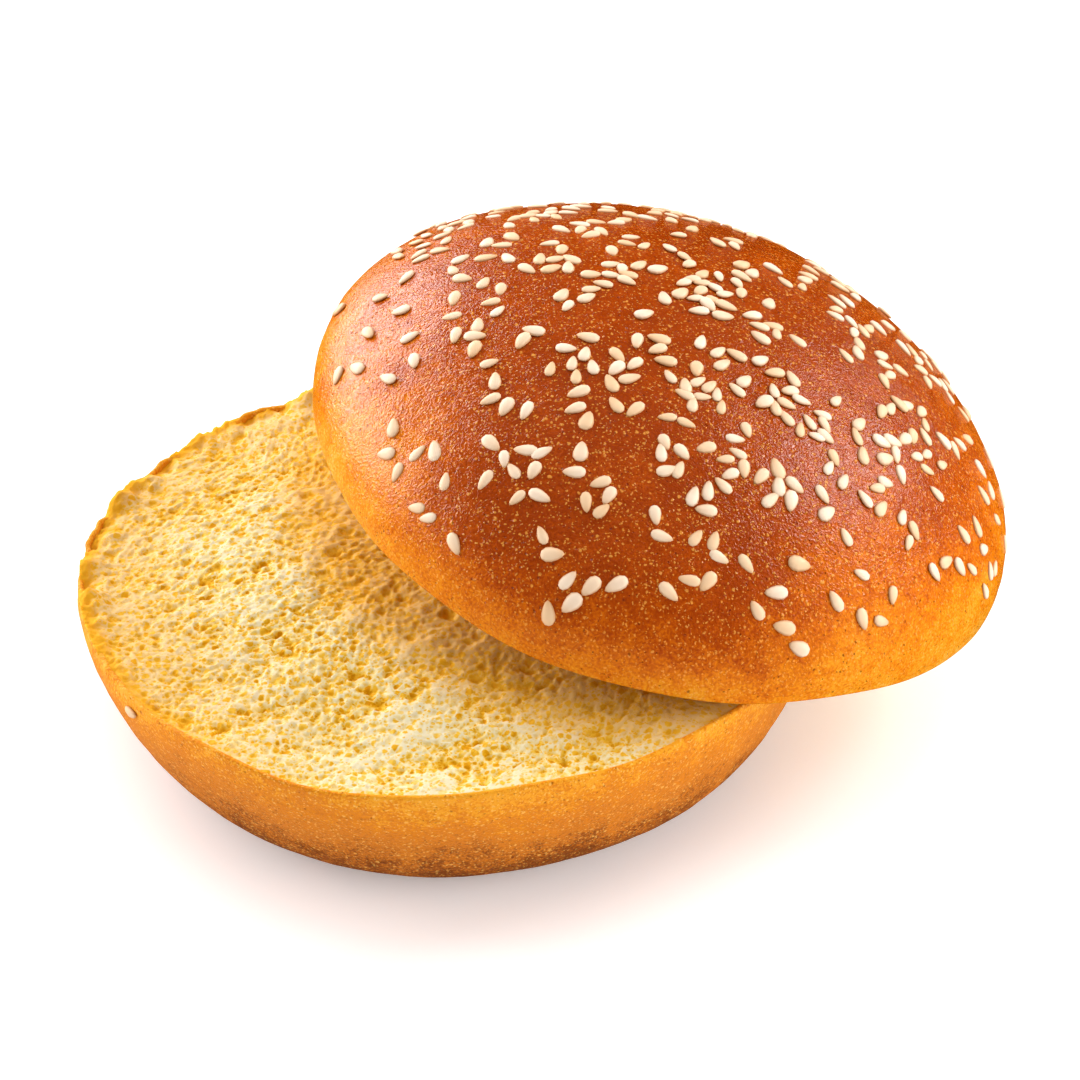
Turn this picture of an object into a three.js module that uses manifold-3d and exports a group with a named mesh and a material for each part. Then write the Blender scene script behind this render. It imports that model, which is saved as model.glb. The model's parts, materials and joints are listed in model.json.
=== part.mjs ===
// A sesame bread roll, sliced level through its middle and left open.
// The bottom half stands on its flat base with the cut crumb up. The domed top half lies on it cut side
// down, slid to the right and back, so that it tips to the right over the bottom half's rim.
// Units are millimetres and radians. +X is right, +Y is away from the viewer and +Z is up.

import * as THREE from "three";
import { mergeVertices } from "three/addons/utils/BufferGeometryUtils.js";
import Module from "manifold-3d";

// Where the middle of the base stands, with the middle of the whole roll's footprint at the origin.
const baseCentre = new THREE.Vector3(-13.9, -5.3, 0);

// Waves round an outline: [waves per turn, cosine part, sine part].
const bottomHalf = {
  baseRadius: 39.8,
  equatorRadius: 52.9,
  equatorHeight: 16.7,
  rimRadius: 53.8,
  rimShift: [-0.9, -3.6], // the cut edge leans forward of the base
  rimHeight: 22.8,
  cutSlope: [0.021, -0.052], // rise of the cut for each millimetre of x and y
  crumbRise: 4.4, // the soft crumb springs up in the middle of the cut
  crumbRiseAt: [6, 3],
  outlineWaves: [[2, -0.001, -0.005], [3, 0.001, 0.009], [4, -0.001, -0.006], [7, 0.002, 0.001]],
  rimWaves: [[2, -0.13, 0.44], [3, 0.51, 0], [4, -0.1, 0.7], [9, 0.2, -0.15], [14, 0.12, 0.14]],
};

const topHalf = {
  centre: new THREE.Vector3(30.1, 14.4, 28.5), // middle of its cut, from the middle of the base
  tip: 0.231, // it leans down to the right
  rimRadius: 53,
  height: 30.1,
  crownShift: [-0.7, -0.7], // the highest part is a little off the middle
  domeRise: 1.9, // exponents of the dome's profile, 2 and 2 being an ellipse
  domeRound: 2.08,
  sideBulge: 0.9, // the side swells outwards above the cut
  sideBulgeShare: 0.57,
  crumbDrop: 3.4, // how far the soft crumb hangs below the cut edge in the middle
  outlineWaves: [[2, -0.019, -0.029], [3, 0.015, 0.005], [4, 0.005, -0.002]],
  rimWaves: [[2, -0.75, 0.84], [3, -1.25, 0.77], [4, -0.42, -0.19], [11, 0.15, 0.1]],
};

// Where the top half bears on the bottom one, the bottom crumb is pressed down to just below it.
const contact = { gap: 0.35, softness: 0.5, fadeFrom: 1.04, fadeTo: 1.14 };

const seed = {
  length: 3.2,
  width: 1.95,
  thickness: 0.95,
  count: 205,
  lowest: 0.16, // shares of the dome's height between which the seeds thin out
  thinning: 0.42,
  sideThinning: 0.06, // they reach lower on the left and right than in front
  clumpShare: 0.4, // share of seeds that lie beside another
  clumpReach: 3.2,
  nearest: 2.2, // from the next seed of a clump
  spread: 3.9, // room round a seed that starts a clump
  lift: 0.12, // height of a seed's middle over the crust
  start: 2027,
};

const straySeed = { azimuth: 3.77, below: 2.4, heading: 0.4 }; // one seed low on the bottom half's left rim

const sides = 60;
const fullTurn = 2 * Math.PI;
const smoothStep = (from, to, value) => THREE.MathUtils.smoothstep(value, from, to);

const waveSum = (waves, angle) =>
  waves.reduce((sum, [k, c, s]) => sum + c * Math.cos(k * angle) + s * Math.sin(k * angle), 0);

// The roll's own number draw, between 0 and 1, always the same from the same start.
function makeDraw(start) {
  let state = start;
  return () => {
    state = (state * 16807) % 2147483647;
    return state / 2147483647;
  };
}

// A closed surface from a lower pole, rings of equal count going up, and an upper pole.
function ringSurface(lowPole, rings, highPole) {
  const points = [lowPole, ...rings.flat(), highPole];
  const at = (ring, i) => 1 + ring * sides + (i % sides);
  const last = points.length - 1;
  const faces = [];
  for (let i = 0; i < sides; i++) {
    faces.push(0, at(0, i + 1), at(0, i));
    for (let ring = 0; ring + 1 < rings.length; ring++) {
      const [a, b] = [at(ring, i), at(ring, i + 1)];
      const [c, d] = [at(ring + 1, i + 1), at(ring + 1, i)];
      faces.push(a, b, c, a, c, d);
    }
    faces.push(at(rings.length - 1, i), at(rings.length - 1, i + 1), last);
  }
  const geometry = new THREE.BufferGeometry().setFromPoints(points);
  return geometry.setIndex(faces);
}

const ringOf = (pointAt) => Array.from({ length: sides }, (_, i) => pointAt((i / sides) * fullTurn));

// The top half, in its own frame: the cut lies at z = 0 and the dome above it.

const topOutline = (angle) => 1 + waveSum(topHalf.outlineWaves, angle);

// A point of the dome: step goes from 0 at the cut edge to 1 at the crown.
function domePoint(step, angle) {
  const rise = Math.sin((step * Math.PI) / 2);
  const profile = Math.max(0, 1 - rise ** topHalf.domeRise) ** (1 / topHalf.domeRound);
  const swell = Math.sin(Math.PI * Math.min(1, rise / topHalf.sideBulgeShare));
  const radius = (topHalf.rimRadius * profile + topHalf.sideBulge * swell) * topOutline(angle);
  const x = radius * Math.cos(angle) + topHalf.crownShift[0] * rise ** 1.5;
  const y = radius * Math.sin(angle) + topHalf.crownShift[1] * rise ** 1.5;
  const z = topHalf.height * rise + waveSum(topHalf.rimWaves, angle) * (1 - rise);
  return new THREE.Vector3(x, y, z);
}

// Height of the hanging crumb at a share of the radius: the rim's waves fade inwards.
function underHeight(share, angle) {
  const middle = Math.max(0, 1 - share * share) ** 1.5;
  return waveSum(topHalf.rimWaves, angle) * Math.min(1, share) ** 3 - topHalf.crumbDrop * middle;
}

function underPoint(share, angle) {
  const radius = topHalf.rimRadius * topOutline(angle) * share;
  return new THREE.Vector3(radius * Math.cos(angle), radius * Math.sin(angle), underHeight(share, angle));
}

function topBody() {
  const underSteps = [0.22, 0.45, 0.68, 0.88];
  const domeSteps = [0, 0.05, 0.12, 0.2, 0.29, 0.38, 0.48, 0.58, 0.68, 0.78, 0.88, 0.95];
  const rings = [
    ...underSteps.map((share) => ringOf((angle) => underPoint(share, angle))),
    ...domeSteps.map((step) => ringOf((angle) => domePoint(step, angle))),
  ];
  return ringSurface(underPoint(0, 0), rings, domePoint(1, 0));
}

// The bottom half, from the middle of its base.

const topTurn = new THREE.Quaternion().setFromAxisAngle(new THREE.Vector3(0, 1, 0), topHalf.tip);
const topTurnBack = topTurn.clone().invert();

// The top half's hanging crumb above or below a point: its height, and the share of its radius there.
function hangingCrumb(point) {
  const probe = point.clone();
  let share = 0;
  for (let pass = 0; pass < 4; pass++) {
    const local = probe.clone().sub(topHalf.centre).applyQuaternion(topTurnBack);
    const angle = Math.atan2(local.y, local.x);
    share = Math.hypot(local.x, local.y) / (topHalf.rimRadius * topOutline(angle));
    probe.z -= (local.z - underHeight(share, angle)) / Math.cos(topHalf.tip);
  }
  return { height: probe.z, share };
}

// Lowers a point of the bottom crumb, where it has to, so that it clears the crumb above it.
function pressed(point) {
  const above = hangingCrumb(point);
  const ceiling = above.height - contact.gap;
  const lowered = (point.z + ceiling - Math.hypot(point.z - ceiling, contact.softness)) / 2;
  const under = 1 - smoothStep(contact.fadeFrom, contact.fadeTo, above.share);
  point.z += (lowered - point.z) * under;
  return point;
}

const cutHeight = (x, y) =>
  bottomHalf.rimHeight + bottomHalf.cutSlope[0] * x + bottomHalf.cutSlope[1] * y;

// A point of the cut face at a share of its radius.
function cutPoint(share, angle) {
  const radius = bottomHalf.rimRadius * (1 + waveSum(bottomHalf.outlineWaves, angle)) * share;
  const x = radius * Math.cos(angle) + bottomHalf.rimShift[0];
  const y = radius * Math.sin(angle) + bottomHalf.rimShift[1];
  const [riseX, riseY] = bottomHalf.crumbRiseAt;
  const fromRise = Math.hypot(x - riseX, y - riseY) / bottomHalf.rimRadius;
  const hump = Math.max(0, 1 - fromRise * fromRise) * (1 - share ** 4);
  const wave = waveSum(bottomHalf.rimWaves, angle) * share ** 3;
  return pressed(new THREE.Vector3(x, y, cutHeight(x, y) + wave + bottomHalf.crumbRise * hump));
}

// A point of the side at a share of the height: a quarter ellipse up to the equator, then to the cut edge.
function sidePoint(climb, angle) {
  const rim = cutPoint(1, angle);
  const outline = 1 + waveSum(bottomHalf.outlineWaves, angle);
  const z = rim.z * climb;
  const belowEquator = 1 - Math.min(1, z / bottomHalf.equatorHeight);
  const widen = bottomHalf.equatorRadius - bottomHalf.baseRadius;
  const radius = bottomHalf.baseRadius + widen * Math.sqrt(1 - belowEquator * belowEquator);
  const side = new THREE.Vector3(radius * outline * Math.cos(angle), radius * outline * Math.sin(angle), z);
  return side.lerp(new THREE.Vector3(rim.x, rim.y, z), smoothStep(0.35, 1, climb));
}

function bottomBody() {
  const base = new THREE.Vector3(0, 0, 0);
  const sideSteps = [0, 0.04, 0.12, 0.25, 0.42, 0.6, 0.8];
  const cutSteps = [1, 0.94, 0.8, 0.62, 0.42, 0.2];
  const rings = [
    ...sideSteps.map((climb) => ringOf((angle) => sidePoint(climb, angle))),
    ...cutSteps.map((share) => ringOf((angle) => cutPoint(share, angle))),
  ];
  return ringSurface(base, rings, cutPoint(0, 0));
}

// Sesame seeds: flat drops lying on the crust.

// A drop along x, blunt at one end and pointed at the other, with five sides.
function seedGeometry() {
  const stations = [[-0.3, 1], [0.14, 0.86]]; // place along the length and share of the width
  const around = 5;
  const points = [new THREE.Vector3(-seed.length / 2, 0, 0)];
  for (const [along, wide] of stations)
    for (let i = 0; i < around; i++) {
      const turn = (i / around) * fullTurn;
      const y = (Math.cos(turn) * wide * seed.width) / 2;
      points.push(new THREE.Vector3(along * seed.length, y, (Math.sin(turn) * wide * seed.thickness) / 2));
    }
  points.push(new THREE.Vector3(seed.length / 2, 0, 0));
  const faces = [];
  const tip = points.length - 1;
  for (let i = 0; i < around; i++) {
    const [a, b] = [1 + i, 1 + ((i + 1) % around)];
    faces.push(0, b, a, a, b, b + around, a, b + around, a + around, a + around, b + around, tip);
  }
  return new THREE.BufferGeometry().setFromPoints(points).setIndex(faces);
}

// The frame that lays a seed on a surface: its length along heading, its flat side on the surface.
function seedPlace(surface, u, v, heading) {
  const step = 1e-3;
  const here = surface(u, v);
  const alongU = surface(u + step, v).sub(surface(u - step, v)).normalize();
  const alongV = surface(u, v + step).sub(surface(u, v - step)).normalize();
  const out = alongV.clone().cross(alongU).normalize();
  const across = out.clone().cross(alongV).normalize();
  const along = alongV.multiplyScalar(Math.cos(heading)).addScaledVector(across, Math.sin(heading));
  const side = out.clone().cross(along);
  return new THREE.Matrix4().makeBasis(along, side, out).setPosition(here.addScaledVector(out, seed.lift));
}

// The place on the dome straight above a point of the plan.
function domePlace(plan) {
  const angle = plan.angle();
  const share = Math.min(1, plan.length() / (topHalf.rimRadius * topOutline(angle)));
  const rise = (1 - share ** topHalf.domeRound) ** (1 / topHalf.domeRise);
  return { plan, angle, rise, step: (Math.asin(rise) * 2) / Math.PI };
}

function planPoint(radius, angle) {
  return new THREE.Vector2(radius * Math.cos(angle), radius * Math.sin(angle));
}

// Seeds lie thickest on the crown and thin out down the side, and some gather beside another.
function scatterSeeds() {
  const draw = makeDraw(seed.start);
  const placed = [];
  let anchor = null;
  while (placed.length < seed.count) {
    const beside = draw() < seed.clumpShare && anchor !== null;
    const [far, turn, heading, chance] = [draw(), draw() * fullTurn, draw() * fullTurn, draw()];
    const rise = seed.lowest + far * (1 - seed.lowest);
    const radius = topHalf.rimRadius * (1 - rise ** topHalf.domeRise) ** (1 / topHalf.domeRound);
    const reach = seed.nearest + far * (seed.clumpReach - seed.nearest);
    const plan = beside ? planPoint(reach, turn).add(anchor) : planPoint(radius, turn);
    const place = domePlace(plan);
    const thinning = seed.thinning - seed.sideThinning * Math.cos(2 * place.angle);
    const likely = place.rise * smoothStep(seed.lowest, thinning, place.rise);
    const room = beside ? seed.nearest : seed.spread;
    const clear = placed.every((other) => other.plan.distanceTo(plan) > room);
    if (chance > likely || !clear) continue;
    placed.push({ ...place, heading });
    if (!beside) anchor = plan;
  }
  return placed;
}

const manifold = await Module();
manifold.setup();

function solidFrom(geometry) {
  const bare = new THREE.BufferGeometry().setAttribute("position", geometry.getAttribute("position"));
  const merged = mergeVertices(bare.setIndex(geometry.getIndex()), 1e-4);
  return new manifold.Manifold(
    new manifold.Mesh({
      numProp: 3,
      vertProperties: new Float32Array(merged.getAttribute("position").array),
      triVerts: new Uint32Array(merged.getIndex().array),
    }),
  );
}

function geometryFrom(solid) {
  const mesh = solid.getMesh();
  const geometry = new THREE.BufferGeometry();
  geometry.setAttribute("position", new THREE.BufferAttribute(mesh.vertProperties, 3));
  return geometry.setIndex(new THREE.BufferAttribute(mesh.triVerts, 1));
}

// Joins seeds to a body and keeps the one outer piece, so that no sealed hollow is left inside.
function withSeeds(body, places) {
  const one = seedGeometry();
  const seeds = places.map((place) => solidFrom(one.clone().applyMatrix4(place)));
  const joined = manifold.Manifold.union([solidFrom(body), ...seeds]);
  const pieces = joined.decompose().sort((a, b) => b.volume() - a.volume());
  return geometryFrom(pieces[0]);
}

const browned = { roughness: 0.45, metalness: 0 };
const topCrust = new THREE.MeshStandardMaterial({ color: 0xb9600f, ...browned });
const bottomCrust = new THREE.MeshStandardMaterial({ color: 0xe9b55c, ...browned });

function makeTop() {
  const places = scatterSeeds().map((s) => seedPlace(domePoint, s.step, s.angle, s.heading));
  const mesh = new THREE.Mesh(withSeeds(topBody(), places), topCrust);
  mesh.name = "top_half";
  const leaning = new THREE.Group();
  leaning.position.copy(topHalf.centre);
  leaning.quaternion.copy(topTurn);
  return leaning.add(mesh);
}

function makeBottom() {
  const stray = 1 - straySeed.below / bottomHalf.rimHeight;
  const place = seedPlace(sidePoint, stray, straySeed.azimuth, straySeed.heading);
  const mesh = new THREE.Mesh(withSeeds(bottomBody(), [place]), bottomCrust);
  mesh.name = "bottom_half";
  return mesh;
}

const roll = new THREE.Group();
roll.position.copy(baseCentre);
roll.add(makeBottom(), makeTop());

export default roll;
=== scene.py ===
# A sesame bread roll, sliced level and left open: its crusts, crumb and seeds, lit and ready to render.
# Shapes are worked out in millimetres. +X is right, +Y is away from the viewer and +Z is up.

import json
import math

import bpy
import numpy as np
from mathutils import Matrix, Vector


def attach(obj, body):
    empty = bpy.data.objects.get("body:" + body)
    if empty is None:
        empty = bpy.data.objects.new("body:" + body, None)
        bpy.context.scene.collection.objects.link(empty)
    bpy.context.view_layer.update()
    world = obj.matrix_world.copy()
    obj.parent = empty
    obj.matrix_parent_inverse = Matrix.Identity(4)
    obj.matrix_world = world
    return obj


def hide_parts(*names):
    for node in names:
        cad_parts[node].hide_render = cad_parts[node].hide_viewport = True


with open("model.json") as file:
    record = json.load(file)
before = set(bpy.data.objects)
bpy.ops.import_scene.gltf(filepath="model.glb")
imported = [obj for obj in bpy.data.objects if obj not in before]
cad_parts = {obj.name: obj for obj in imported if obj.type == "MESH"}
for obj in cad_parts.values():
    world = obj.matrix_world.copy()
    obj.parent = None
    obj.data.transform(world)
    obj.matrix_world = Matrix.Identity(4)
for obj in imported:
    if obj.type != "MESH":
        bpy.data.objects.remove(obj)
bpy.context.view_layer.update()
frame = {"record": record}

mm = 0.001
fullTurn = 2 * math.pi
# The frame's one mount is the middle of the base.
baseCentre = np.array(frame["record"]["mounts"][0]["pos_m"]) / mm


# Number draws and noise

def cellDraw(ix, iy, iz, salt):
    # one number from 0 to 1 for each cell: the fraction left by a large sine
    wave = np.sin(ix * 127.1 + iy * 311.7 + iz * 74.7 + salt * 53.3)
    return np.modf(np.abs(wave) * 43758.5453)[0]


def softNoise(x, y, z, size, salt):
    # numbers drawn at cell corners, blended with the weight 3t² - 2t³ along each side; from -1 to 1
    gx, gy, gz = x / size, y / size, z / size
    ix, iy, iz = np.floor(gx), np.floor(gy), np.floor(gz)
    wx, wy, wz = [(t * t * (3 - 2 * t)) for t in (gx - ix, gy - iy, gz - iz)]
    total = np.zeros(np.broadcast(gx, gy, gz).shape)
    for corner in range(8):
        a, b, c = corner & 1, corner >> 1 & 1, corner >> 2
        weight = (wx if a else 1 - wx) * (wy if b else 1 - wy) * (wz if c else 1 - wz)
        total += weight * cellDraw(ix + a, iy + b, iz + c, salt)
    return 2 * total - 1


def roughNoise(x, y, z, size, salt, layers=3):
    # layers of softNoise, each half the size and half the strength of the one before
    return sum(softNoise(x, y, z, size / 2**k, salt + 9 * k) / 2**k for k in range(layers))


def smoothStep(low, high, value):
    t = np.clip((value - low) / (high - low), 0, 1)
    return t * t * (3 - 2 * t)


def waveSum(waves, angle):
    # sum of c cos(k angle) + s sin(k angle)
    return sum(c * np.cos(k * angle) + s * np.sin(k * angle) for k, c, s in waves)


def makeDraw(state):
    # the roll's own number draw, the same as the frame's
    def draw():
        nonlocal state
        state = state * 16807 % 2147483647
        return state / 2147483647
    return draw


# Meshes

def addPiece(name, points, faces, node, marks=None):
    # points in millimetres from the origin; marks are numbers kept at each point for the material
    mesh = bpy.data.meshes.new(name)
    mesh.from_pydata(points * mm, [], faces)
    for label, values in (marks or {}).items():
        layer = mesh.attributes.new(label, "FLOAT", "POINT")
        layer.data.foreach_set("value", np.ascontiguousarray(values, dtype=np.float32).ravel())
    mesh.shade_smooth()
    piece = bpy.data.objects.new(name, mesh)
    bpy.context.scene.collection.objects.link(piece)
    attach(piece, "root")
    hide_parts(*node)
    print(name, len(mesh.polygons), "faces")
    return piece


def gridFaces(rows, columns, wrap, first=0):
    # quads between the rows of a grid, going round where wrap is set
    i = np.arange(rows - 1)[:, None] * columns
    j = np.arange(columns if wrap else columns - 1)[None, :]
    k = (j + 1) % columns
    return first + np.stack([i + j, i + k, i + columns + k, i + columns + j], -1).reshape(-1, 4)


def closedRings(rings):
    # rings of points from a low pole to a high pole, with the poles closed by the rings' middles
    rows, columns = rings.shape[:2]
    points = np.concatenate([rings.reshape(-1, 3), rings[:1].mean(1), rings[-1:].mean(1)])
    around = np.arange(columns)
    after = (around + 1) % columns
    low = np.stack([np.full(columns, rows * columns), after, around], -1)
    last = (rows - 1) * columns
    high = np.stack([last + around, last + after, np.full(columns, rows * columns + 1)], -1)
    faces = gridFaces(rows, columns, True).tolist() + low.tolist() + high.tolist()
    return points, faces


def squareToDisc(u, v):
    # squares round the middle become circles: share = max(|u|, |v|), angle = how far along that side
    wide = np.abs(u) > np.abs(v)
    share = np.where(wide, u, v)
    safe = np.where(share == 0, 1, share)
    angle = np.where(wide, v / safe * math.pi / 4, math.pi / 2 - u / safe * math.pi / 4)
    return np.abs(share), np.where(share < 0, angle + math.pi, angle)


def gridBorder(n):
    # indices of the outer points of a grid of n by n, once round
    index = np.arange(n * n).reshape(n, n)
    return np.concatenate([index[0, :-1], index[:-1, -1], index[-1, :0:-1], index[:0:-1, 0]])


def closedSlab(top, bottomRings):
    # a square grid of points, closed below by rings that follow its border and by one last middle point
    n = top.shape[0]
    border = gridBorder(n)
    count = len(border)
    points = np.concatenate([top.reshape(-1, 3), bottomRings.reshape(-1, 3), bottomRings[-1:].mean(1)])
    below = n * n + np.arange(len(bottomRings) * count).reshape(-1, count)
    loops = np.concatenate([border[None], below])
    after = np.roll(loops, -1, axis=1)
    sides = np.stack([loops[:-1], loops[1:], after[1:], after[:-1]], -1).reshape(-1, 4)
    end = np.full(count, len(points) - 1)
    cap = np.stack([loops[-1], end, after[-1]], -1)
    return points, gridFaces(n, n, False).tolist() + sides.tolist() + cap.tolist()


# The top half, in its own frame: the cut lies at z = 0 and the dome above it

topHalf = {
    "centre": np.array([30.1, 14.4, 28.5]),  # middle of its cut, from the middle of the base
    "tip": 0.231,  # radians that it leans down to the right
    "rimRadius": 53.0,
    "height": 30.1,
    "crownShift": (-0.7, -0.7),
    "domeRise": 1.9,
    "domeRound": 2.08,
    "sideBulge": 0.9,
    "sideBulgeShare": 0.57,
    "crumbDrop": 3.4,
    "outlineWaves": [(2, -0.019, -0.029), (3, 0.015, 0.005), (4, 0.005, -0.002)],
    "rimWaves": [(2, -0.75, 0.84), (3, -1.25, 0.77), (4, -0.42, -0.19), (11, 0.15, 0.1)],
}
topTurn = np.array(Matrix.Rotation(topHalf["tip"], 3, "Y"))


def topToWorld(points):
    return points @ topTurn.T + topHalf["centre"] + baseCentre


def bottomToWorld(points):
    return points + baseCentre


def topOutline(angle):
    return 1 + waveSum(topHalf["outlineWaves"], angle)


def domePoint(step, angle):
    # rise = sin(90° step); radius = rim (1 - rise^1.9)^(1/2.08) with a swell low on the side; the
    # crown is shifted by rise^1.5
    t = topHalf
    rise = np.sin(step * math.pi / 2)
    profile = np.maximum(0, 1 - rise ** t["domeRise"]) ** (1 / t["domeRound"])
    swell = np.sin(math.pi * np.minimum(1, rise / t["sideBulgeShare"]))
    radius = (t["rimRadius"] * profile + t["sideBulge"] * swell) * topOutline(angle)
    x = radius * np.cos(angle) + t["crownShift"][0] * rise**1.5
    y = radius * np.sin(angle) + t["crownShift"][1] * rise**1.5
    z = t["height"] * rise + waveSum(t["rimWaves"], angle) * (1 - rise)
    return np.stack(np.broadcast_arrays(x, y, z), -1)


def underHeight(share, angle):
    # the rim's waves fade inwards as share³, and the middle hangs by the drop times (1 - share²)^1.5
    middle = np.maximum(0, 1 - share * share) ** 1.5
    return waveSum(topHalf["rimWaves"], angle) * np.minimum(1, share) ** 3 - topHalf["crumbDrop"] * middle


# The bottom half, from the middle of its base

bottomHalf = {
    "baseRadius": 39.8,
    "equatorRadius": 52.9,
    "equatorHeight": 16.7,
    "rimRadius": 53.8,
    "rimShift": (-0.9, -3.6),
    "rimHeight": 22.8,
    "blendFrom": 0.35,  # share of the climb where the wall starts to follow the cut edge
    "cutSlope": (0.021, -0.052),
    "crumbRise": 4.4,
    "crumbRiseAt": (6, 3),
    "outlineWaves": [(2, -0.001, -0.005), (3, 0.001, 0.009), (4, -0.001, -0.006), (7, 0.002, 0.001)],
    "rimWaves": [(2, -0.13, 0.44), (3, 0.51, 0), (4, -0.1, 0.7), (9, 0.2, -0.15), (14, 0.12, 0.14)],
}
contact = {"gap": 0.35, "softness": 0.5, "fadeFrom": 1.04, "fadeTo": 1.14}


def bottomOutline(angle):
    return 1 + waveSum(bottomHalf["outlineWaves"], angle)


def hangingCrumb(x, y, z):
    # height of the top half's crumb over each point, found by stepping along Z four times, and the
    # share of the top half's radius at which it lies
    for _ in range(4):
        local = (np.stack([x, y, z], -1) - topHalf["centre"]) @ topTurn
        angle = np.arctan2(local[..., 1], local[..., 0])
        share = np.hypot(local[..., 0], local[..., 1]) / (topHalf["rimRadius"] * topOutline(angle))
        z = z - (local[..., 2] - underHeight(share, angle)) / math.cos(topHalf["tip"])
    return z, share


def pressed(x, y, z):
    # the lower of z and the crumb above less the gap, rounded over the softness where they meet
    above, share = hangingCrumb(x, y, z)
    ceiling = above - contact["gap"]
    lowered = (z + ceiling - np.hypot(z - ceiling, contact["softness"])) / 2
    return z + (lowered - z) * (1 - smoothStep(contact["fadeFrom"], contact["fadeTo"], share))


def cutPlace(share, angle):
    # x and y of a point of the cut at a share of its radius, and its height before it is pressed
    b = bottomHalf
    radius = b["rimRadius"] * bottomOutline(angle) * share
    x = radius * np.cos(angle) + b["rimShift"][0]
    y = radius * np.sin(angle) + b["rimShift"][1]
    fromRise = np.hypot(x - b["crumbRiseAt"][0], y - b["crumbRiseAt"][1]) / b["rimRadius"]
    hump = np.maximum(0, 1 - fromRise**2) * (1 - np.minimum(1, share) ** 4)
    wave = waveSum(b["rimWaves"], angle) * share**3
    z = b["rimHeight"] + b["cutSlope"][0] * x + b["cutSlope"][1] * y + wave + b["crumbRise"] * hump
    return x, y, z


def sidePoint(climb, angle):
    # a quarter ellipse from the base to the equator, blended into the cut edge higher up
    b = bottomHalf
    rimX, rimY, rimZ = cutPlace(np.ones_like(angle), angle)
    rimZ = pressed(rimX, rimY, rimZ)
    z = rimZ * climb
    belowEquator = 1 - np.minimum(1, z / b["equatorHeight"])
    radius = b["baseRadius"] + (b["equatorRadius"] - b["baseRadius"]) * np.sqrt(1 - belowEquator**2)
    radius = radius * bottomOutline(angle)
    blend = smoothStep(b["blendFrom"], 1, climb)
    x = radius * np.cos(angle) * (1 - blend) + rimX * blend
    y = radius * np.sin(angle) * (1 - blend) + rimY * blend
    return np.stack(np.broadcast_arrays(x, y, z), -1)


# Crusts

def outwards(grid):
    # unit normals of a grid that goes round in its second direction and up in its first
    up = np.gradient(grid, axis=0)
    onwards = np.roll(grid, -1, axis=1) - np.roll(grid, 1, axis=1)
    normal = np.cross(onwards, up)
    return normal / np.maximum(1e-9, np.linalg.norm(normal, axis=-1, keepdims=True))


crustLook = {
    "around": 620,
    "domeRows": 128,
    "sideRows": 84,
    "baseRows": 12,
    "lipRows": 6,
    "lipWidth": 0.8,  # width of the crust where the knife went through it
    "lipRound": 0.3,
    "depth": 4.6,  # how far down the crust shell goes behind the crumb
    "swellSize": 15.0,  # broad unevenness of the skin and how high it is
    "swellHeight": 0.22,
    "dimpleSize": 2.6,
    "dimpleHeight": 0.05,
    "domeEven": 0.06,  # share of the way up the dome over which the unevenness comes in
    "baseEven": 0.1,  # the same for the wall of the bottom half
    "rimEven": 0.94,  # share of the wall's climb where it starts to fade, and how far it fades
    "rimEvened": 0.7,
    "baseBake": 1.06,  # browning of the wall at the base, which is less by 1 at the cut
}


def uneven(grid, strength, salt):
    # moves points along their normals by broad swells and fine dimples
    x, y, z = grid[..., 0], grid[..., 1], grid[..., 2]
    c = crustLook
    move = c["swellHeight"] * roughNoise(x, y, z, c["swellSize"], salt, 2)
    move += c["dimpleHeight"] * roughNoise(x, y, z, c["dimpleSize"], salt + 40, 3)
    return grid + outwards(grid) * (move * strength)[..., None]


def lipAndInside(edge, inward, up):
    # from a crust's cut edge: half a small circle to its inner side, then into the roll and to the middle
    c = crustLook
    turn = np.linspace(0, math.pi, c["lipRows"])[1:, None, None]
    lip = edge + inward * c["lipWidth"] * (1 - np.cos(turn)) / 2 - up * c["lipRound"] * np.sin(turn)
    deep = lip[-1] + up * c["depth"]
    middle = deep.mean(0)
    inner = [lip[-1] * (1 - t) + deep * t for t in (0.5, 1)]
    floor = [deep * (1 - t) + middle * t for t in (0.4, 0.8)]
    return lip, np.array(inner + floor)


def ringAngles():
    return np.linspace(0, fullTurn, crustLook["around"], endpoint=False)[None, :]


def towardsAxis(angle):
    return -np.stack([np.cos(angle), np.sin(angle), np.zeros_like(angle)], -1)


topBake = {
    "front": 4.45,  # angle of the middle of the front, which is darker lower down than the rest
    "rim": 0.2,
    "frontRimPaintedShade": 0.1,  # painted shade added to the rim's colour in front, where the floor's bounce lights it
    "crown": 0.95,
    "from": -0.08,  # share of the height where browning starts, and where it is full, less in front
    "full": 1.05,
    "frontLess": 0.5,
}


def makeTopCrust():
    angle = ringAngles()
    step = np.linspace(0, 1, crustLook["domeRows"])[:-1, None]
    strength = smoothStep(0, crustLook["domeEven"], step) * np.ones_like(angle)
    dome = uneven(domePoint(step, angle), strength, 3)
    lip, inside = lipAndInside(dome[0], towardsAxis(angle[0]), np.array([0, 0, 1.0]))
    points, faces = closedRings(np.concatenate([inside[::-1], lip[::-1], dome]))
    b = topBake
    turned = np.arctan2(points[:, 1], points[:, 0])
    height = (points[:, 2] - waveSum(topHalf["rimWaves"], turned)) / topHalf["height"]
    front = smoothStep(0.7, 0.97, np.cos(turned - b["front"]))
    # painted shade on the rim in front
    rim = b["rim"] + b["frontRimPaintedShade"] * front
    bake = rim + (b["crown"] - rim) * smoothStep(b["from"], b["full"] - b["frontLess"] * front, height)
    return addPiece("topCrust", topToWorld(points), faces, ["top_half"], {"bake": bake})


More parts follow.
